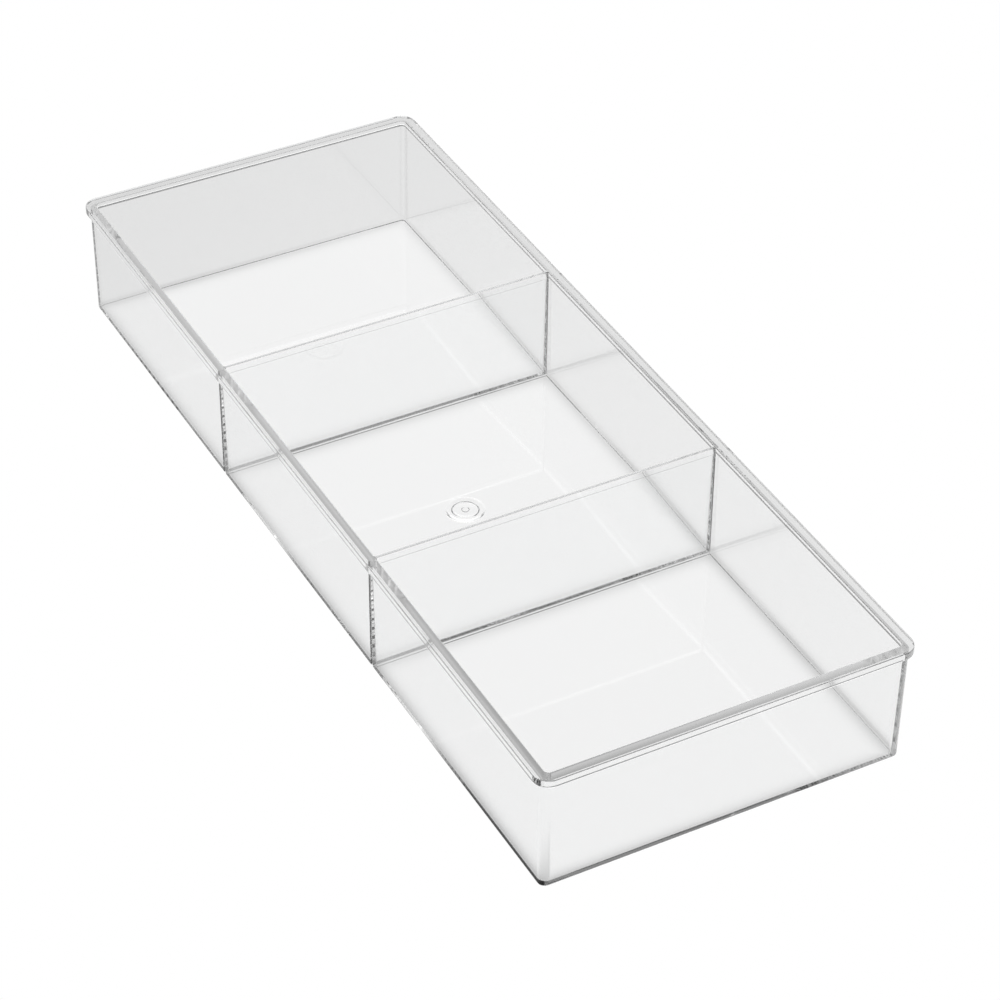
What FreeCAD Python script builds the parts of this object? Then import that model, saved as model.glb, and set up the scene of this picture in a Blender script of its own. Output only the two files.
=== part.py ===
import FreeCAD, Part
import os
from math import cos, pi, sin

# Clear three-compartment drawer organizer insert, an injection-moulded tray.
# Millimetres. X is the width, Y the length and Z up. The origin is the centre
# of the underside, so the tray stands on Z = 0 with its rear at +Y.
#
# The real tray is one moulding. It is built here whole, and then parted on
# flat planes into the regions that a toolmaker would name.

# Driving dimensions
TRAY_LENGTH = 381.0
TRAY_WIDTH = 145.7
TRAY_HEIGHT = 49.4
FLOOR_THICKNESS = 1.0
WALL_AT_TOP = 2.2
WALL_AT_FLOOR = 2.4
OUTER_DRAFT = 0.25
TUB_CORNER_RADIUS = 2.8
END_INNER_RADIUS = 1.8
DIVIDER_INNER_RADIUS = 0.5
BASE_EDGE_RADIUS = 0.7
FLOOR_FILLET = 0.4
INNER_EDGE_RADIUS = 0.5

# Rim: a lip that stands out from the walls all round the top
RIM_OVERHANG = 2.2
RIM_DEPTH = 3.3
RIM_CORNER_RADIUS = 6.2
RIM_TOP_RADIUS = 0.4
RIM_LOWER_RADIUS = 0.6

# Dividers: two skins with a narrow slot between them, open below and closed
# level with the underside of the rim
DIVIDER_AT_TOP = 1.2
DIVIDER_AT_FLOOR = 4.1
SLOT_AT_BASE = 0.5
SLOT_AT_ROOF = 0.3
SLOT_CORNER_RADIUS = 0.75

# Gate mark: a round dimple in the middle of the floor, raised inside and
# hollow below, with the cut stub of the gate in its middle
DIMPLE_RADIUS = 7.8
DIMPLE_RISE = 0.7
DIMPLE_LEDGE = 2.4
STUB_RADIUS = 1.3
STUB_HEIGHT = 0.5

# Where the moulding is parted into regions, always in a straight stretch
END_REGION = 8.0
DIVIDER_REGION = 12.0
SIDE_REGION = 6.0

# Worked out from the driving dimensions
HALF_WIDTH = TRAY_WIDTH / 2
HALF_LENGTH = TRAY_LENGTH / 2
WALL_X = HALF_WIDTH - RIM_OVERHANG
WALL_Y = HALF_LENGTH - RIM_OVERHANG
DIVIDER_Y = WALL_Y / 3
RIM_BASE_Z = TRAY_HEIGHT - RIM_DEPTH

# (name, front edge, rear edge) of each compartment, between slot middles
COMPARTMENTS = (
    ("front", -WALL_Y, -DIVIDER_Y),
    ("middle", -DIVIDER_Y, DIVIDER_Y),
    ("rear", DIVIDER_Y, WALL_Y),
)


def outline(x, front, rear, z, front_radius, rear_radius):
    """A rounded rectangle at height z, symmetrical about X = 0."""
    corners = (
        (x, rear, rear_radius, 0),
        (-x, rear, rear_radius, 1),
        (-x, front, front_radius, 2),
        (x, front, front_radius, 3),
    )
    arcs = []
    for corner_x, corner_y, radius, quarter in corners:
        centre_x = corner_x - radius if corner_x > 0 else corner_x + radius
        centre_y = corner_y - radius if quarter < 2 else corner_y + radius
        points = []
        for step in range(3):
            angle = pi / 2 * (quarter + step / 2)
            px = centre_x + radius * cos(angle)
            py = centre_y + radius * sin(angle)
            points.append(FreeCAD.Vector(px, py, z))
        arcs.append(points)
    edges = []
    for index, points in enumerate(arcs):
        edges.append(Part.Arc(*points).toShape())
        following = arcs[(index + 1) % 4]
        edges.append(Part.LineSegment(points[2], following[0]).toShape())
    return Part.Wire(edges)


def pick(edge, at_wall, at_divider):
    """The value for a compartment's end: at the tray's end, or at a divider."""
    at_tray_end = abs(abs(edge) - WALL_Y) < 0.001
    return at_wall if at_tray_end else at_divider


def tub_outside(front, rear):
    """Outside of one compartment, from its base to the top of the tray."""
    rise = TRAY_HEIGHT / RIM_BASE_Z
    slot_at_top = SLOT_AT_BASE + (SLOT_AT_ROOF - SLOT_AT_BASE) * rise
    wires = []
    for z, draft, slot in (
        (0, OUTER_DRAFT, SLOT_AT_BASE),
        (TRAY_HEIGHT, 0, slot_at_top),
    ):
        wires.append(
            outline(
                WALL_X - draft,
                front + pick(front, draft, slot / 2),
                rear - pick(rear, draft, slot / 2),
                z,
                pick(front, TUB_CORNER_RADIUS, SLOT_CORNER_RADIUS),
                pick(rear, TUB_CORNER_RADIUS, SLOT_CORNER_RADIUS),
            )
        )
    solid = Part.makeLoft(wires, True, True)
    edges = [e for e in solid.Edges if e.BoundBox.ZMax < 0.001]
    return solid.makeFillet(BASE_EDGE_RADIUS, edges)


def cavity(front, rear):
    """Inside of one compartment, drafted wider towards the top."""
    wires = []
    for z, wall, divider in (
        (FLOOR_THICKNESS, WALL_AT_FLOOR + OUTER_DRAFT, DIVIDER_AT_FLOOR),
        (TRAY_HEIGHT, WALL_AT_TOP, DIVIDER_AT_TOP),
    ):
        wires.append(
            outline(
                WALL_X - wall,
                front + pick(front, wall, divider / 2),
                rear - pick(rear, wall, divider / 2),
                z,
                pick(front, END_INNER_RADIUS, DIVIDER_INNER_RADIUS),
                pick(rear, END_INNER_RADIUS, DIVIDER_INNER_RADIUS),
            )
        )
    solid = Part.makeLoft(wires, True, True)
    edges = [e for e in solid.Edges if e.BoundBox.ZMax < FLOOR_THICKNESS + 0.001]
    return solid.makeFillet(FLOOR_FILLET, edges)


def slab(x, y, radius, bottom, top):
    """An upright prism on a rounded rectangle."""
    face = Part.Face(outline(x, -y, y, bottom, radius, radius))
    return face.extrude(FreeCAD.Vector(0, 0, top - bottom))


def rim():
    """The lip all round, with its two outer edges rounded."""
    solid = slab(HALF_WIDTH, HALF_LENGTH, RIM_CORNER_RADIUS, RIM_BASE_Z, TRAY_HEIGHT)
    top = [e for e in solid.Edges if e.BoundBox.ZMin > TRAY_HEIGHT - 0.001]
    solid = solid.makeFillet(RIM_TOP_RADIUS, top)
    low = [e for e in solid.Edges if e.BoundBox.ZMax < RIM_BASE_Z + 0.001]
    return solid.makeFillet(RIM_LOWER_RADIUS, low)


def bridge():
    """What joins the three compartments above the slots."""
    x = WALL_X - OUTER_DRAFT
    y = WALL_Y - OUTER_DRAFT
    return slab(x, y, TUB_CORNER_RADIUS, RIM_BASE_Z, TRAY_HEIGHT)


def dimple(height, radius):
    """A low disc with a sloping edge, on the floor's middle."""
    return Part.makeCone(radius, radius - height, height)


def moulding():
    """The whole tray as one solid."""
    body = rim().fuse(bridge())
    for name, front, rear in COMPARTMENTS:
        body = body.fuse(tub_outside(front, rear))
    for name, front, rear in COMPARTMENTS:
        body = body.cut(cavity(front, rear))
    body = body.removeSplitter()
    mouths = []
    for edge in body.Edges:
        span = edge.BoundBox
        if span.ZMin > TRAY_HEIGHT - 0.001 and span.XMax < WALL_X and span.YMax < WALL_Y:
            if span.XMin > -WALL_X and span.YMin > -WALL_Y:
                mouths.append(edge)
    return body.makeFillet(INNER_EDGE_RADIUS, mouths)


def with_gate_mark(floor):
    """The middle floor with the dimple and the gate's stub in its centre."""
    raised = dimple(DIMPLE_RISE, DIMPLE_RADIUS)
    raised.translate(FreeCAD.Vector(0, 0, FLOOR_THICKNESS))
    hollow = dimple(DIMPLE_RISE, DIMPLE_RADIUS - DIMPLE_LEDGE)
    stub = Part.makeCylinder(STUB_RADIUS, STUB_HEIGHT)
    stub.translate(FreeCAD.Vector(0, 0, DIMPLE_RISE - STUB_HEIGHT))
    return floor.fuse(raised).cut(hollow).fuse(stub)


def block(x0, x1, y0, y1, z0, z1):
    """A box between two corners."""
    corner = FreeCAD.Vector(x0, y0, z0)
    return Part.makeBox(x1 - x0, y1 - y0, z1 - z0, corner)


def regions():
    """The block of space that holds each named region of the moulding."""
    top = TRAY_HEIGHT + 1
    base = FLOOR_THICKNESS
    end_y = WALL_Y - END_REGION
    inner_x = WALL_X - SIDE_REGION
    fold = DIVIDER_REGION / 2
    space = {}
    for name, front, rear in COMPARTMENTS:
        space["floor_" + name] = block(-WALL_X, WALL_X, front, rear, -1, base)
        low = -end_y if name == "front" else front + fold
        high = end_y if name == "rear" else rear - fold
        space["left_wall_" + name] = block(-WALL_X, -inner_x, low, high, base, top)
        space["right_wall_" + name] = block(inner_x, WALL_X, low, high, base, top)
    for name, y in (("front", -DIVIDER_Y), ("rear", DIVIDER_Y)):
        space["divider_" + name] = block(-WALL_X, WALL_X, y - fold, y + fold, base, top)
    space["end_wall_front"] = block(-WALL_X, WALL_X, -WALL_Y, -end_y, base, top)
    space["end_wall_rear"] = block(-WALL_X, WALL_X, end_y, WALL_Y, base, top)
    return space


def rim_regions(lip):
    """The four lengths of the rim, outside the walls' outer faces."""
    far = HALF_LENGTH + 1
    base = RIM_BASE_Z - 1
    top = TRAY_HEIGHT + 1
    end_y = WALL_Y - END_REGION
    return {
        "rim_left": lip.common(block(-far, 0, -end_y, end_y, base, top)),
        "rim_right": lip.common(block(0, far, -end_y, end_y, base, top)),
        "rim_front": lip.common(block(-far, far, -far, -end_y, base, top)),
        "rim_rear": lip.common(block(-far, far, end_y, far, base, top)),
    }


def main():
    os.makedirs("parts", exist_ok=True)
    whole = moulding()
    core = slab(WALL_X, WALL_Y, TUB_CORNER_RADIUS, RIM_BASE_Z - 1, TRAY_HEIGHT + 1)
    lip = whole.cut(core).common(block(-500, 500, -500, 500, RIM_BASE_Z, TRAY_HEIGHT + 1))
    inner = whole.cut(lip)
    nodes = {}
    for name, space in regions().items():
        nodes[name] = inner.common(space)
    nodes.update(rim_regions(lip))
    nodes["floor_middle"] = with_gate_mark(nodes["floor_middle"])
    total = 0
    for name in sorted(nodes):
        shape = nodes[name].removeSplitter()
        solids = shape.Solids
        total += shape.Volume
        print(name, len(solids), shape.isValid(), round(shape.Volume, 1))
        shape = solids[0] if len(solids) == 1 else shape
        shape.exportStep("parts/" + name + ".step")
    print("whole", round(whole.Volume, 1), "sum", round(total, 1))


main()
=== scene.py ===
from math import cos, exp, pi, radians, sin

import bmesh
import bpy
from mathutils import Matrix, Vector


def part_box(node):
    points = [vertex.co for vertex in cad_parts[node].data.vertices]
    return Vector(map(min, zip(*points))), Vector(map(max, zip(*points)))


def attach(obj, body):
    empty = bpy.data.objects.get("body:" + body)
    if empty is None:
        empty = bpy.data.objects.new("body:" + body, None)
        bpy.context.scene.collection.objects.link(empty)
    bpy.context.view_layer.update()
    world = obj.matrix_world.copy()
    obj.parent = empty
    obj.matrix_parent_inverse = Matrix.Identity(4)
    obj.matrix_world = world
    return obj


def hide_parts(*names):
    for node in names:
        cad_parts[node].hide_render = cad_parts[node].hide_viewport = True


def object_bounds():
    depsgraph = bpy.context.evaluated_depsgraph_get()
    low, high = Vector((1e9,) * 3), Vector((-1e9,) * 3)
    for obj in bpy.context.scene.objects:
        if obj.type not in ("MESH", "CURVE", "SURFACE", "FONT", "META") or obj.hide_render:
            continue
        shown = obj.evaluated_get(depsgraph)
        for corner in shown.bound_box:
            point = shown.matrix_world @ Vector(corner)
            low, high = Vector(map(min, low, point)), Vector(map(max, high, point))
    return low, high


# Clear moulded drawer organizer insert, in metres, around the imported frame.
#
# The tray is one injection moulding. Its whole skin is built here as one closed
# mesh, its corner normals are taken from the whole, and it is then parted on the
# CAD nodes' own seams, so that one clear body shows and every node has a piece.

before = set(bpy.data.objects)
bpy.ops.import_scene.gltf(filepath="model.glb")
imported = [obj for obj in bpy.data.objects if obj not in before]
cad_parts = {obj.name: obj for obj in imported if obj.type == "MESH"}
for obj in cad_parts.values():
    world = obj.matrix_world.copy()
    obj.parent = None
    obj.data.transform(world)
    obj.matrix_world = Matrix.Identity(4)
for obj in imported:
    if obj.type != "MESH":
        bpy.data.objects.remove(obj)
cad_low, cad_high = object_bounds()

# Places that the frame gives
HALF_WIDTH = cad_high.x
HALF_LENGTH = cad_high.y
HEIGHT = cad_high.z
FLOOR_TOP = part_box("floor_front")[1].z
RIM_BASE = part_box("rim_left")[0].z
WALL_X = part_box("end_wall_rear")[1].x
WALL_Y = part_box("end_wall_rear")[1].y
END_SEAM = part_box("end_wall_rear")[0].y
FOLD_SEAMS = [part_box("divider_rear")[side].y for side in (0, 1)]
DIVIDER_Y = sum(FOLD_SEAMS) / 2

# Sections of the moulding, as in the CAD
WALL_AT_TOP = 0.0022
WALL_AT_FLOOR = 0.0024
OUTER_DRAFT = 0.00025
TUB_CORNER_RADIUS = 0.0028
END_INNER_RADIUS = 0.0018
DIVIDER_INNER_RADIUS = 0.0005
BASE_EDGE_RADIUS = 0.0007
FLOOR_FILLET = 0.0004
DIVIDER_AT_TOP = 0.0012
DIVIDER_AT_FLOOR = 0.0041
SLOT_AT_BASE = 0.0005
SLOT_AT_ROOF = 0.0003
SLOT_CORNER_RADIUS = 0.00075
RIM_CORNER_RADIUS = 0.0062
RIM_TOP_RADIUS = 0.0004
RIM_LOWER_RADIUS = 0.0006
INNER_EDGE_RADIUS = 0.0005

# Heights between floor and rim at which the walls get another ring of faces
WALL_LEVELS = (0.35 * HEIGHT, 0.65 * HEIGHT)

# Gate mark in the middle floor
DIMPLE_RADIUS = 0.0078
DIMPLE_RISE = 0.0007
DIMPLE_LEDGE = 0.0024
STUB_RADIUS = 0.0013
# Its profiles run inwards, each point as (distance in, share of the rise)
DISHED_TOP = (
    (0, 0),
    (0.00025, 0.1),
    (0.0006, 0.6),
    (0.0010, 0.92),
    (0.0015, 1),
    (0.0026, 0.97),
    (0.0032, 0.8),
    (0.0037, 0.72),
)
HOLLOW_SIDE = ((0, 0), (0.00015, 0.17), (0.0004, 0.8), (0.0008, 1))
STUB_SIDE = ((-0.0003, 1), (-0.00015, 0.85), (0, 0.36), (0.0003, 0.17))

# How finely each kind of round is divided
CORNER_STEPS = 12
ROUND_STEPS = 6
FILLET_STEPS = 4
MOUTH_STEPS = 5
RING_STEPS = 72
SMOOTH_ANGLE = radians(35)
TINY = 1e-6

# What a face of the skin belongs to, and the seams between those zones
FLOOR, WALL, RIM, FLOOR_SEAM, RIM_SEAM = range(5)

COMPARTMENTS = (
    ("front", -WALL_Y, -DIVIDER_Y),
    ("middle", -DIVIDER_Y, DIVIDER_Y),
    ("rear", DIVIDER_Y, WALL_Y),
)


# ---------------------------------------------------------------- mesh tools


def outline(x, front, rear, z, front_radius, rear_radius):
    """Points of a rounded rectangle at height z, from +X +Y round to +X -Y."""
    points = []
    for side, end, radius, start in (
        (1, rear, rear_radius, 0),
        (-1, rear, rear_radius, 90),
        (-1, front, front_radius, 180),
        (1, front, front_radius, 270),
    ):
        centre_x = side * (x - radius)
        centre_y = end - radius if start < 180 else end + radius
        for step in range(CORNER_STEPS + 1):
            angle = radians(start + 90 * step / CORNER_STEPS)
            points.append(Vector((centre_x + radius * cos(angle), centre_y + radius * sin(angle), z)))
    return points


def circle(radius, z):
    """Points of a circle about the Z axis."""
    turns = [2 * pi * step / RING_STEPS for step in range(RING_STEPS)]
    return [Vector((radius * cos(a), radius * sin(a), z)) for a in turns]


def ring(skin, points):
    return [skin.verts.new(point) for point in points]


def new_face(skin, verts, zone):
    face = skin.faces.new(verts)
    face[skin.faces.layers.int["zone"]] = zone
    return face


def band(skin, one, other, zone):
    """Quads between two rings of as many points."""
    count = len(one)
    for i in range(count):
        j = (i + 1) % count
        new_face(skin, [one[i], one[j], other[j], other[i]], zone)


def fill(skin, rings, zone):
    """A flat face at one height, with the inner rings left open."""
    edges = []
    for loop in rings:
        for i, vert in enumerate(loop):
            pair = (vert, loop[(i + 1) % len(loop)])
            edges.append(skin.edges.get(pair) or skin.edges.new(pair))
    made = bmesh.ops.triangle_fill(skin, use_beauty=True, use_dissolve=False, edges=edges)
    for item in made["geom"]:
        if isinstance(item, bmesh.types.BMFace):
            item[skin.faces.layers.int["zone"]] = zone


def quarter(radius, steps):
    """(run, rise) along a quarter round, from its flat start to its upright end."""
    angles = [pi / 2 * step / steps for step in range(steps + 1)]
    return [(radius * (1 - sin(a)), radius * (1 - cos(a))) for a in angles]


# ------------------------------------------------------------- the moulding


def at_tray_end(edge):
    return abs(abs(edge) - WALL_Y) < TINY


def outside_ring(skin, front, rear, z, inset):
    """A level ring of one compartment's outside."""
    draft = OUTER_DRAFT * (1 - z / HEIGHT)
    slot = SLOT_AT_BASE + (SLOT_AT_ROOF - SLOT_AT_BASE) * z / RIM_BASE
    ends = []
    radii = []
    for edge, inward in ((front, 1), (rear, -1)):
        if at_tray_end(edge):
            ends.append(edge + inward * (draft + inset))
            radii.append(TUB_CORNER_RADIUS - inset)
        else:
            ends.append(edge + inward * (slot / 2 + inset))
            radii.append(SLOT_CORNER_RADIUS - inset)
    return ring(skin, outline(WALL_X - draft - inset, *ends, z, *radii))


def outside(skin, front, rear):
    """The outside of one compartment: its rings at the base, floor and rim."""
    levels = [(rise, run) for run, rise in quarter(BASE_EDGE_RADIUS, ROUND_STEPS)]
    levels += [(z, 0) for z in (FLOOR_TOP, *WALL_LEVELS, RIM_BASE)]
    rings = [outside_ring(skin, front, rear, z, inset) for z, inset in levels]
    seam = None
    for (z, inset), lower, upper in zip(levels, rings, rings[1:]):
        if z == FLOOR_TOP:
            seam = lower
        band(skin, lower, upper, FLOOR if seam is None else WALL)
    return rings[0], seam, rings[-1]


def cavity_ring(skin, front, rear, z, inset):
    """A level ring of one compartment's inside."""
    rise = (z - FLOOR_TOP) / (HEIGHT - FLOOR_TOP)
    wall = (WALL_AT_FLOOR + OUTER_DRAFT) * (1 - rise) + WALL_AT_TOP * rise
    half_divider = (DIVIDER_AT_FLOOR * (1 - rise) + DIVIDER_AT_TOP * rise) / 2
    ends = []
    radii = []
    for edge, inward in ((front, 1), (rear, -1)):
        shift = wall if at_tray_end(edge) else half_divider
        radius = END_INNER_RADIUS if at_tray_end(edge) else DIVIDER_INNER_RADIUS
        ends.append(edge + inward * (shift + inset))
        radii.append(radius - inset)
    return ring(skin, outline(WALL_X - wall - inset, *ends, z, *radii))


def cavity(skin, front, rear):
    """The inside of one compartment: its floor ring and its ring at the top."""
    levels = [(FLOOR_TOP + rise, run) for run, rise in quarter(FLOOR_FILLET, FILLET_STEPS)]
    levels += [(z, 0) for z in WALL_LEVELS]
    edge = [(HEIGHT - rise, -run) for run, rise in quarter(INNER_EDGE_RADIUS, MOUTH_STEPS)]
    levels += [(z, shift) for z, shift in reversed(edge)]
    rings = [cavity_ring(skin, front, rear, z, inset) for z, inset in levels]
    for lower, upper in zip(rings, rings[1:]):
        band(skin, lower, upper, WALL)
    return rings[0], rings[-1]


def lathe(skin, turned):
    """Rings about the Z axis through (radius, height), closed by a last disc."""
    rings = [ring(skin, circle(radius, z)) for radius, z in turned]
    for one, other in zip(rings, rings[1:]):
        band(skin, one, other, FLOOR)
    new_face(skin, rings[-1], FLOOR)
    return rings[0]


def profile(radius, base, points):
    """(radius, height) of points given as (distance in, share of the rise)."""
    return [(radius - inward, base + share * DIMPLE_RISE) for inward, share in points]


def gate_mark_above(skin):
    """The raised ring with its shallow dished top, on the middle floor."""
    return lathe(skin, profile(DIMPLE_RADIUS, FLOOR_TOP, DISHED_TOP))


def gate_mark_below(skin):
    """The hollow under the gate mark, with the cut stub of the gate in it."""
    hollow = profile(DIMPLE_RADIUS - DIMPLE_LEDGE, 0, HOLLOW_SIDE)
    return lathe(skin, hollow + profile(STUB_RADIUS, 0, STUB_SIDE))


def rim_ring(skin, inset, z):
    radius = RIM_CORNER_RADIUS - inset
    points = outline(HALF_WIDTH - inset, inset - HALF_LENGTH, HALF_LENGTH - inset, z, radius, radius)
    return ring(skin, points)


def rim_outside(skin):
    """The rim's rounded outer face: its inner rings at the top and below."""
    levels = [(run, HEIGHT - rise) for run, rise in quarter(RIM_TOP_RADIUS, ROUND_STEPS)]
    below = [(run, RIM_BASE + rise) for run, rise in quarter(RIM_LOWER_RADIUS, ROUND_STEPS)]
    levels += reversed(below)
    rings = [rim_ring(skin, inset, z) for inset, z in levels]
    for upper, lower in zip(rings, rings[1:]):
        band(skin, upper, lower, RIM)
    return rings[0], rings[-1]


def corner_runs(loop):
    """The four corner arcs of a ring: rear right, rear left, front left, front right."""
    size = CORNER_STEPS + 1
    return [loop[size * corner : size * (corner + 1)] for corner in range(4)]


def wall_run_at_rim(tubs):
    """The tubs' joint outline at the rim's base: its corner arcs and side chains."""
    front, middle, rear = (corner_runs(tub) for tub in tubs)
    arcs = [rear[0], rear[1], front[2], front[3]]
    left = [rear[1][-1], rear[2][0], middle[1][-1], middle[2][0], front[1][-1], front[2][0]]
    right = [front[3][-1], front[0][0], middle[3][-1], middle[0][0], rear[3][-1], rear[0][0]]
    return arcs, left, right


def strip_between(skin, one, other, zone):
    """Quads between two runs of as many points."""
    for i in range(len(one) - 1):
        new_face(skin, [one[i], one[i + 1], other[i + 1], other[i]], zone)


def join_to_wall_run(skin, loop, tubs, zone):
    """Faces from a plain ring to the tubs' joint outline."""
    arcs, left, right = wall_run_at_rim(tubs)
    corners = corner_runs(loop)
    for corner, arc in zip(corners, arcs):
        strip_between(skin, corner, arc, zone)
    new_face(skin, [corners[0][-1], corners[1][0], arcs[1][0], arcs[0][-1]], zone)
    new_face(skin, [corners[2][-1], corners[3][0], arcs[3][0], arcs[2][-1]], zone)
    new_face(skin, [corners[1][-1], corners[2][0], *reversed(left)], zone)
    new_face(skin, [corners[3][-1], corners[0][0], *reversed(right)], zone)


def slot_roofs(skin, tubs):
    """The roof of the slot in each divider, level with the rim's base."""
    for ahead, behind in zip(tubs, tubs[1:]):
        near, far = corner_runs(ahead), corner_runs(behind)
        new_face(skin, [*near[0], *near[1], *far[2], *far[3]], WALL)


def moulding():
    """The whole tray's skin, with the inner seams between its zones."""
    skin = bmesh.new()
    skin.faces.layers.int.new("zone")
    skin.loops.layers.float_vector.new("shade")
    tubs, openings = [], []
    for name, front, rear in COMPARTMENTS:
        base, floor_seam, tub = outside(skin, front, rear)
        floor_edge, opening = cavity(skin, front, rear)
        band(skin, floor_seam, floor_edge, FLOOR_SEAM)
        if name == "middle":
            fill(skin, [base, gate_mark_below(skin)], FLOOR)
            fill(skin, [floor_edge, gate_mark_above(skin)], FLOOR)
        else:
            new_face(skin, base, FLOOR)
            new_face(skin, floor_edge, FLOOR)
        tubs.append(tub)
        openings.append(opening)
    rim_top, rim_bottom = rim_outside(skin)
    wall_top = ring(skin, outline(WALL_X, -WALL_Y, WALL_Y, HEIGHT, TUB_CORNER_RADIUS, TUB_CORNER_RADIUS))
    band(skin, rim_top, wall_top, RIM)
    fill(skin, [wall_top, *openings], WALL)
    join_to_wall_run(skin, rim_bottom, tubs, RIM)
    join_to_wall_run(skin, wall_top, tubs, RIM_SEAM)
    slot_roofs(skin, tubs)
    return skin


def is_seam(skin, face):
    return face[skin.faces.layers.int["zone"]] in (FLOOR_SEAM, RIM_SEAM)


def face_outward(skin):
    """Turns every face of the skin outward."""
    shell = bmesh.new()
    twins = {}
    for face in skin.faces:
        if not is_seam(skin, face):
            corners = []
            for vert in face.verts:
                if vert not in twins:
                    twins[vert] = shell.verts.new(vert.co)
                corners.append(twins[vert])
            shell.faces.new(corners)
    bmesh.ops.recalc_face_normals(shell, faces=shell.faces)
    shell.normal_update()
    if shell.calc_volume(signed=True) < 0:
        bmesh.ops.reverse_faces(shell, faces=shell.faces)
    open_edges = [edge for edge in shell.edges if len(edge.link_faces) != 2]
    print("skin:", len(shell.faces), "faces,", len(open_edges), "open edges,", shell.calc_volume(), "m3")
    shell.normal_update()
    shell.faces.ensure_lookup_table()
    skin.normal_update()
    index = 0
    for face in skin.faces:
        if not is_seam(skin, face):
            if face.normal.dot(shell.faces[index].normal) < 0:
                face.normal_flip()
            index += 1
    shell.free()
    skin.normal_update()


def smooth_groups(vert, skin):
    """The faces round a vertex, in groups that meet at less than the smooth angle."""
    left = [face for face in vert.link_faces if not is_seam(skin, face)]
    while left:
        group = [left.pop()]
        for face in group:
            for edge in face.edges:
                if vert in edge.verts:
                    for other in edge.link_faces:
                        if other in left and face.normal.angle(other.normal, 0) < SMOOTH_ANGLE:
                            left.remove(other)
                            group.append(other)
        yield group


def shade_corners(skin):
    """Stores each corner's normal: the mean over its smooth group, by area."""
    shade = skin.loops.layers.float_vector["shade"]
    for vert in skin.verts:
        for group in smooth_groups(vert, skin):
            normal = sum((face.normal * face.calc_area() for face in group), Vector())
            normal.normalize()
            for face in group:
                for loop in face.loops:
                    if loop.vert == vert:
                        loop[shade] = normal


def cut_at_seams(skin):
    """Splits the faces on the upright planes where the nodes meet."""
    places = [END_SEAM, *FOLD_SEAMS]
    for y in [*places, *[-place for place in places]]:
        geometry = [*skin.verts, *skin.edges, *skin.faces]
        bmesh.ops.bisect_plane(skin, geom=geometry, dist=TINY / 10, plane_co=(0, y, 0), plane_no=(0, 1, 0))


# ------------------------------------------------------- pieces of the tray


def length_name(y):
    return next(name for name, front, rear in COMPARTMENTS if front < y < rear)


def wall_name(x, y):
    if abs(y) > END_SEAM:
        return "end_wall_front" if y < 0 else "end_wall_rear"
    if FOLD_SEAMS[0] < abs(y) < FOLD_SEAMS[1]:
        return "divider_front" if y < 0 else "divider_rear"
    return ("left_wall_" if x < 0 else "right_wall_") + length_name(y)


def rim_name(x, y):
    if abs(y) > END_SEAM:
        return "rim_front" if y < 0 else "rim_rear"
    return "rim_left" if x < 0 else "rim_right"


def owners(skin, face):
    """The nodes that a face belongs to: one, or the two that share a seam."""
    zone = face[skin.faces.layers.int["zone"]]
    x, y, z = face.calc_center_median()
    names = []
    if zone in (FLOOR, FLOOR_SEAM):
        names.append("floor_" + length_name(y))
    if zone in (WALL, FLOOR_SEAM, RIM_SEAM):
        names.append(wall_name(x, y))
    if zone in (RIM, RIM_SEAM):
        names.append(rim_name(x, y))
    return names


def open_loops(shell):
    """The closed chains of edges that only one face uses."""
    left = {edge for edge in shell.edges if len(edge.link_faces) == 1}
    while left:
        edge = left.pop()
        start, vert = edge.verts
        chain = [start]
        while vert is not start:
            chain.append(vert)
            edge = next(e for e in vert.link_edges if e in left)
            left.discard(edge)
            vert = edge.other_vert(vert)
        yield chain


def piece_mesh(skin, name, faces, plastic, joint):
    """One node's closed mesh, with the moulding's own corner normals."""
    shade = skin.loops.layers.float_vector["shade"]
    shell = bmesh.new()
    kept = shell.loops.layers.float_vector.new("shade")
    twins = {}
    for face in faces:
        corners = []
        for vert in face.verts:
            if vert not in twins:
                twins[vert] = shell.verts.new(vert.co)
            corners.append(twins[vert])
        copy = shell.faces.new(corners)
        copy.smooth = True
        copy.material_index = 1 if is_seam(skin, face) else 0
        for loop, source in zip(copy.loops, face.loops):
            loop[kept] = source[shade]
    for chain in list(open_loops(shell)):
        shell.faces.new(chain).material_index = 1
    bmesh.ops.recalc_face_normals(shell, faces=shell.faces)
    if shell.calc_volume(signed=True) < 0:
        bmesh.ops.reverse_faces(shell, faces=shell.faces)
    open_edges = [edge for edge in shell.edges if len(edge.link_faces) != 2]
    if open_edges:
        raise RuntimeError(f"{name} is not closed: {len(open_edges)} open edges")
    shell.normal_update()
    normals = []
    for face in shell.faces:
        for loop in face.loops:
            normals.append(face.normal.copy() if face.material_index else loop[kept].copy())
    mesh = bpy.data.meshes.new(name)
    shell.to_mesh(mesh)
    shell.free()
    mesh.materials.append(plastic)
    mesh.materials.append(joint)
    mesh.normals_split_custom_set(normals)
    return mesh


def tray_pieces(plastic, joint):
    """One piece for each CAD node, all on the one rigid body."""
    skin = moulding()
    face_outward(skin)
    shade_corners(skin)
    cut_at_seams(skin)
    shares = {node: [] for node in sorted(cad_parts)}
    for face in skin.faces:
        for name in owners(skin, face):
            shares[name].append(face)
    for node, faces in shares.items():
        piece = bpy.data.objects.new("clear_" + node, piece_mesh(skin, node, faces, plastic, joint))
        bpy.context.collection.objects.link(piece)
        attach(piece, "root")
        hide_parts(node)
    skin.free()


# ----------------------------------------------------------------- materials


def node(tree, kind, **inputs):
    """A new shader node with some of its inputs set."""
    made = tree.nodes.new(kind)
    for name, value in inputs.items():
        made.inputs[name.replace("_", " ")].default_value = value
    return made


PLASTIC_COLOUR = (0.992, 0.994, 0.994, 1)
POLYSTYRENE_IOR = 1.59
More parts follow.
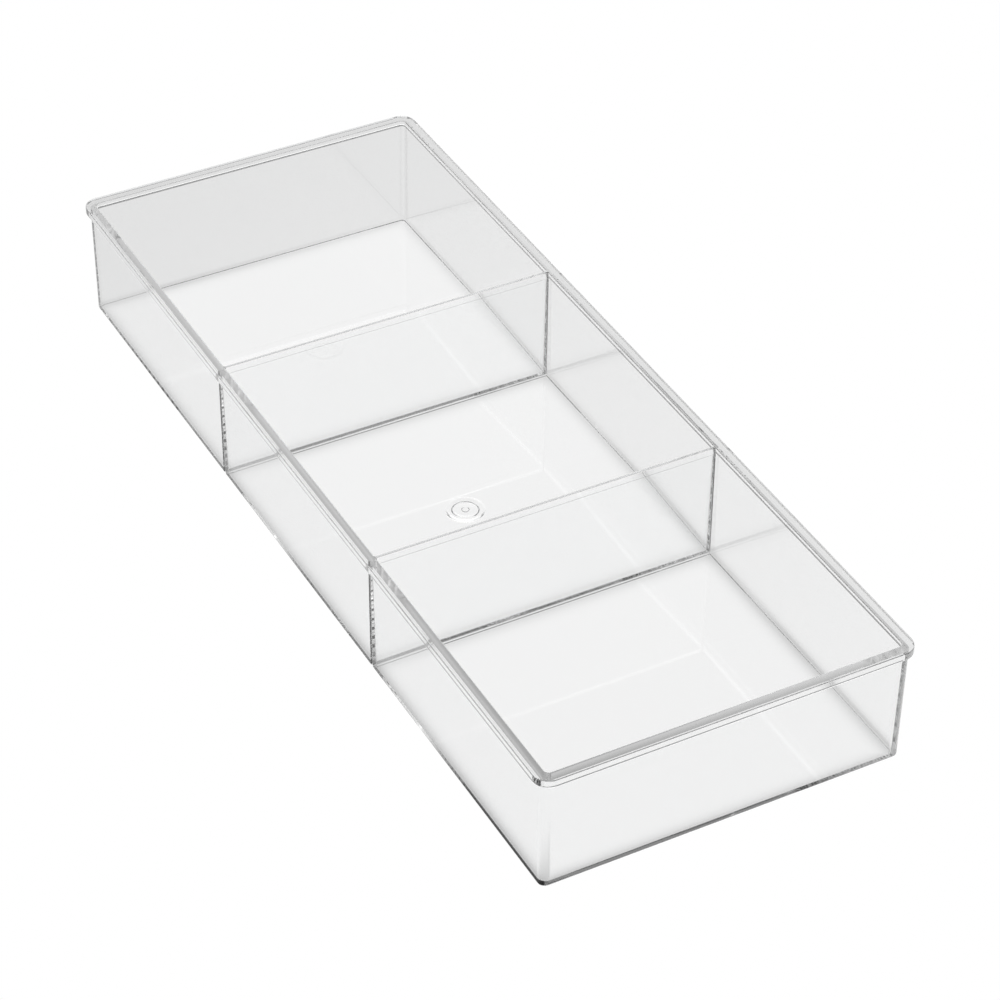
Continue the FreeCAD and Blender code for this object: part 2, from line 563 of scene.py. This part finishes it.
# Fine hair scratches: their lie, how closely they lie along X, Y and Z, and the
# part of the noise that shows as a scratch
SCRATCH_TURN = radians(24)
SCRATCH_SCALE = (2600, 90, 700)
SCRATCH_FROM = 0.66
SCRATCH_TO = 0.80
SCRATCH_ROUGHNESS = 0.02
SCRATCH_DEPTH = 0.000002
FLOW_SCALE = 26.0
FLOW_DEPTH = 0.00004


def clear_plastic():
    """Polished clear polystyrene: faint flow lines, and fine rubbed scratches."""
    material = bpy.data.materials.new("clear_polystyrene")
    material.use_nodes = True
    tree = material.node_tree
    shader = tree.nodes["Principled BSDF"]
    shader.inputs["Base Color"].default_value = PLASTIC_COLOUR
    shader.inputs["IOR"].default_value = POLYSTYRENE_IOR
    shader.inputs["Transmission Weight"].default_value = 1.0

    place = tree.nodes.new("ShaderNodeTexCoord").outputs["Object"]

    flow = node(tree, "ShaderNodeTexNoise", Scale=FLOW_SCALE, Detail=2.0, Roughness=0.45)
    tree.links.new(place, flow.inputs["Vector"])

    stretch = node(tree, "ShaderNodeMapping")
    stretch.inputs["Rotation"].default_value = (0, 0, SCRATCH_TURN)
    stretch.inputs["Scale"].default_value = SCRATCH_SCALE
    tree.links.new(place, stretch.inputs["Vector"])
    hairs = node(tree, "ShaderNodeTexNoise", Scale=1.0, Detail=3.0, Roughness=0.6)
    tree.links.new(stretch.outputs["Vector"], hairs.inputs["Vector"])
    lines = node(tree, "ShaderNodeMapRange", From_Min=SCRATCH_FROM, From_Max=SCRATCH_TO)
    tree.links.new(hairs.outputs["Fac"], lines.inputs["Value"])

    polish = node(tree, "ShaderNodeMapRange", To_Min=0.0, To_Max=SCRATCH_ROUGHNESS)
    tree.links.new(lines.outputs["Result"], polish.inputs["Value"])
    tree.links.new(polish.outputs["Result"], shader.inputs["Roughness"])

    wave = node(tree, "ShaderNodeBump", Strength=0.35, Distance=FLOW_DEPTH)
    tree.links.new(flow.outputs["Fac"], wave.inputs["Height"])
    scratch = node(tree, "ShaderNodeBump", Strength=0.2, Distance=SCRATCH_DEPTH)
    tree.links.new(lines.outputs["Result"], scratch.inputs["Height"])
    tree.links.new(wave.outputs["Normal"], scratch.inputs["Normal"])
    tree.links.new(scratch.outputs["Normal"], shader.inputs["Normal"])
    return material


def open_joint():
    """What closes a piece where it runs on into its neighbour: nothing shows."""
    material = bpy.data.materials.new("inside_the_moulding")
    material.use_nodes = True
    tree = material.node_tree
    tree.nodes.clear()
    clear = tree.nodes.new("ShaderNodeBsdfTransparent")
    output = tree.nodes.new("ShaderNodeOutputMaterial")
    tree.links.new(clear.outputs["BSDF"], output.inputs["Surface"])
    return material


# --------------------------------------------------------- studio and camera

FLOOR_SIZE = 12.0
FLOOR_GAP = 0.0003
# The table's level where the camera sees it directly
FLOOR_SEEN = 1.0
# The table's glow as the tray sees it, with painted light and shade by place, each as
# (level at the origin, slope over X, slope over Y): painted light inside the tray's
# outline, a painted soft shadow round it, and a painted contact shadow right under the outer walls
PAINTED_LIGHT_INSIDE = (0.985, 0, 0.02)
PAINTED_SHADE_AROUND = (0.815, 0.15, -0.23)
PAINTED_CONTACT_SHADE_WALLS = (0.531, 1.557, 0.643)
# Painted contact shadow under the dividers
PAINTED_CONTACT_SHADE_DIVIDERS = 0.75
# How far the painted contact shadow under a wall reaches, and how quickly the painted shade outside begins
CONTACT_REACH = 0.0044
AROUND_BLEND = 0.004
# The painted light far off, and the distances over which the table's glow rises to it
PAINTED_LIGHT_FAR = 1.47
TABLE_FAR_FROM = 0.15
TABLE_FAR_TO = 0.45

# The room's level overhead, what is added at the horizon, and how high that reaches
SKY_BASE = 0.14
SKY_HORIZON = 0.7
SKY_HORIZON_HEIGHT = sin(radians(25))
# (azimuth from +Y towards +X, elevation, half width in degrees, strength)
SOFT_BOX = (33, 16, 13, 1.9)

# The camera, from the front left and looking down at 38 degrees
CAMERA_PLACE = (-0.46226, -0.87538, 0.78786)
CAMERA_AIM = (0.37543, 0.689, -0.61995)
CAMERA_UP = (0.285, 0.55066, 0.78457)
SENSOR_MM = 36.0
LENS_MM = 121.32
CAMERA_SIGHT = 50.0

# Light runs a long way inside the floor and walls before it leaves them
LIGHT_BOUNCES = 72


def wired(tree, made, values):
    """Sets a node's first inputs, each to a number or to another node's output."""
    for socket, value in zip(made.inputs, values):
        if isinstance(value, bpy.types.NodeSocket):
            tree.links.new(value, socket)
        else:
            socket.default_value = value
    return made


def maths(tree, operation, *values):
    made = tree.nodes.new("ShaderNodeMath")
    made.operation = operation
    return wired(tree, made, values).outputs["Value"]


def along(tree, vector, direction):
    """How far a vector reaches in a direction."""
    made = tree.nodes.new("ShaderNodeVectorMath")
    made.operation = "DOT_PRODUCT"
    return wired(tree, made, (vector, direction)).outputs["Value"]


def painted_shadow_under(tree, place, middle):
    """Mask of a painted contact shadow: from 1 under a wall or divider that stands at this place down to 0
    beside it.
    """
    off = maths(tree, "SUBTRACT", maths(tree, "ABSOLUTE", place), middle)
    off = maths(tree, "DIVIDE", off, CONTACT_REACH)
    return maths(tree, "POWER", exp(-1), maths(tree, "MULTIPLY", off, off))


def blend(tree, factor, start, end, one, other):
    """From one level to the other as the factor goes from start to end."""
    made = tree.nodes.new("ShaderNodeMapRange")
    return wired(tree, made, (factor, start, end, one, other)).outputs["Result"]


def painted_table_light(tree):
    """The table's painted light and shade by place, for what the tray reflects and bends: painted light
    inside the outline, painted contact shadows under the walls and dividers, a painted soft shadow round
    the tray, and painted light far off.
    """
    place = tree.nodes.new("ShaderNodeTexCoord").outputs["Object"]
    x = along(tree, place, (1, 0, 0))
    y = along(tree, place, (0, 1, 0))
    inside, around, under_outline = (
        maths(tree, "ADD", along(tree, place, (slope_x, slope_y, 0)), level)
        for level, slope_x, slope_y in (PAINTED_LIGHT_INSIDE, PAINTED_SHADE_AROUND, PAINTED_CONTACT_SHADE_WALLS)
    )
    under_divider = painted_shadow_under(tree, y, DIVIDER_Y)
    inside = blend(tree, under_divider, 0, 1, inside, PAINTED_CONTACT_SHADE_DIVIDERS)
    outline_shadow = maths(tree, "MAXIMUM", painted_shadow_under(tree, x, WALL_X), painted_shadow_under(tree, y, WALL_Y))
    inside = blend(tree, outline_shadow, 0, 1, inside, under_outline)
    beyond_side = maths(tree, "SUBTRACT", maths(tree, "ABSOLUTE", x), WALL_X)
    beyond_end = maths(tree, "SUBTRACT", maths(tree, "ABSOLUTE", y), WALL_Y)
    beyond = maths(tree, "MAXIMUM", beyond_side, beyond_end)
    near = blend(tree, beyond, 0, AROUND_BLEND, inside, around)
    return blend(tree, beyond, TABLE_FAR_FROM, TABLE_FAR_TO, near, PAINTED_LIGHT_FAR)


def studio_floor():
    """A white table: plain to the camera, and to the tray a glow with painted light and shade by place."""
    sheet = bmesh.new()
    bmesh.ops.create_grid(sheet, x_segments=1, y_segments=1, size=FLOOR_SIZE / 2)
    mesh = bpy.data.meshes.new("studio_floor")
    sheet.to_mesh(mesh)
    sheet.free()
    floor = bpy.data.objects.new("studio_floor", mesh)
    floor.location.z = -FLOOR_GAP
    bpy.context.collection.objects.link(floor)
    material = bpy.data.materials.new("white_table_with_painted_shade")
    material.use_nodes = True
    tree = material.node_tree
    tree.nodes.clear()
    path = tree.nodes.new("ShaderNodeLightPath")
    # Camera rays see plain white; other rays see the painted light and shade
    level = blend(tree, path.outputs["Is Camera Ray"], 0, 1, painted_table_light(tree), FLOOR_SEEN)
    glow = tree.nodes.new("ShaderNodeEmission")
    tree.links.new(level, glow.inputs["Strength"])
    output = tree.nodes.new("ShaderNodeOutputMaterial")
    tree.links.new(glow.outputs["Emission"], output.inputs["Surface"])
    mesh.materials.append(material)


def studio_world():
    """A soft pale room, brighter low down, with one soft box beyond the tray.

    The camera itself sees it as white.
    """
    world = bpy.data.worlds.new("studio")
    bpy.context.scene.world = world
    world.use_nodes = True
    tree = world.node_tree
    ray = tree.nodes.new("ShaderNodeTexCoord").outputs["Generated"]
    height = maths(tree, "DIVIDE", along(tree, ray, (0, 0, 1)), SKY_HORIZON_HEIGHT)
    low = maths(tree, "POWER", exp(-1), maths(tree, "MULTIPLY", height, height))
    total = maths(tree, "MULTIPLY_ADD", low, SKY_HORIZON, SKY_BASE)
    azimuth, elevation, width, strength = SOFT_BOX
    a, e = radians(azimuth), radians(elevation)
    aim = along(tree, ray, (sin(a) * cos(e), cos(a) * cos(e), sin(e)))
    off = maths(tree, "DIVIDE", maths(tree, "SUBTRACT", aim, 1.0), 1 - cos(radians(width)))
    total = maths(tree, "MULTIPLY_ADD", maths(tree, "POWER", exp(1), off), strength, total)
    seen = tree.nodes.new("ShaderNodeLightPath").outputs["Is Camera Ray"]
    total = maths(tree, "MAXIMUM", total, seen)
    tree.links.new(total, tree.nodes["Background"].inputs["Color"])


def camera():
    lens = bpy.data.cameras.new("camera")
    lens.sensor_width = SENSOR_MM
    lens.lens = LENS_MM
    lens.clip_end = CAMERA_SIGHT
    seat = bpy.data.objects.new("camera", lens)
    bpy.context.collection.objects.link(seat)
    back = -Vector(CAMERA_AIM).normalized()
    right = Vector(CAMERA_UP).cross(back).normalized()
    up = back.cross(right)
    seat.matrix_world = Matrix((right, up, back)).transposed().to_4x4()
    seat.matrix_world.translation = Vector(CAMERA_PLACE)
    bpy.context.scene.camera = seat


def renderer():
    """The view transform, and how far light is followed."""
    scene = bpy.context.scene
    scene.view_settings.view_transform = "Standard"
    scene.cycles.max_bounces = LIGHT_BOUNCES
    scene.cycles.transmission_bounces = LIGHT_BOUNCES
    scene.cycles.glossy_bounces = LIGHT_BOUNCES
    scene.cycles.transparent_max_bounces = LIGHT_BOUNCES
    scene.cycles.use_denoising = True


camera()
studio_floor()
studio_world()
renderer()
tray_pieces(clear_plastic(), open_joint())
